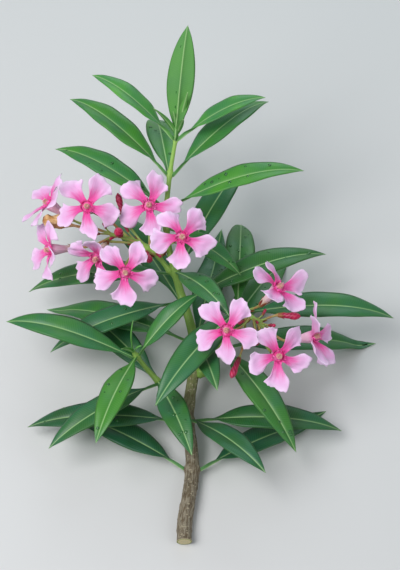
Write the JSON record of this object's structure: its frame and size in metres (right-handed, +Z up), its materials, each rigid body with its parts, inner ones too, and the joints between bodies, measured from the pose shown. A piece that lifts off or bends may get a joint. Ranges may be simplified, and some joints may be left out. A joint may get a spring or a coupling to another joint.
{
  "type": "cut oleander spray",
  "caption": "Flowering oleander spray as cut, lying on a level surface: a woody stem that forks into green shoots, whorls of lance-shaped leaves and clusters of pink flowers with red buds.",
  "frame": {"origin": "middle of the spray's own box, on the level surface that it lies on", "axes": "+Y along the spray from its cut end to its tip, +X to the right of that, +Z up"},
  "size_m": [0.2612, 0.313, 0.1421],
  "materials": {
    "bark": "matt grey-brown bark, raised scars",
    "green_stem": "smooth satin green shoot",
    "leaf": "leathery, satin, pale midrib",
    "petal": "soft matt petal, deep pink throat",
    "bud": "satin red bud"
  },
  "bodies": {
    "root": {"bloom_left_1": "petal", "bloom_left_2": "petal", "bloom_left_3": "petal", "bloom_left_4": "petal", "bloom_left_5": "petal", "bloom_left_6": "petal", "bloom_left_7": "petal", "bloom_right_1": "petal", "bloom_right_2": "petal", "bloom_right_3": "petal", "bloom_right_4": "petal", "bud_left_1": "bud", "bud_left_2": "bud", "bud_left_3": "bud", "bud_right_1": "bud", "bud_right_2": "bud", "bud_right_3": "bud", "leaf_leader_foot_1": "leaf", "leaf_leader_low_1": "leaf", "leaf_leader_low_2": "leaf", "leaf_leader_mid_1": "leaf", "leaf_leader_mid_2": "leaf", "leaf_leader_mid_3": "leaf", "leaf_leader_tip_1": "leaf", "leaf_leader_tip_2": "leaf", "leaf_leader_tip_3": "leaf", "leaf_left_high_1": "leaf", "leaf_left_high_2": "leaf", "leaf_left_high_3": "leaf", "leaf_left_low_1": "leaf", "leaf_left_low_2": "leaf", "leaf_left_low_3": "leaf", "leaf_left_node_1": "leaf", "leaf_left_node_2": "leaf", "leaf_left_node_3": "leaf", "leaf_main_high_1": "leaf", "leaf_main_high_2": "leaf", "leaf_main_high_3": "leaf", "leaf_main_low_1": "leaf", "leaf_main_low_2": "leaf", "leaf_right_low_1": "leaf", "leaf_right_low_2": "leaf", "leaf_right_low_3": "leaf", "leaf_right_node_1": "leaf", "leaf_right_node_2": "leaf", "leaf_right_node_3": "leaf", "leaf_side_low_1": "leaf", "leaf_side_low_2": "leaf", "leaf_side_low_3": "leaf", "leaf_side_tip_1": "leaf", "leaf_side_tip_2": "leaf", "leaf_side_tip_3": "leaf", "main_stem": "bark", "peduncle_left": "green_stem", "peduncle_right": "green_stem", "shoot_leader": "green_stem", "shoot_left": "green_stem", "shoot_right": "green_stem", "shoot_side": "green_stem"}
  },
  "joints": []
}
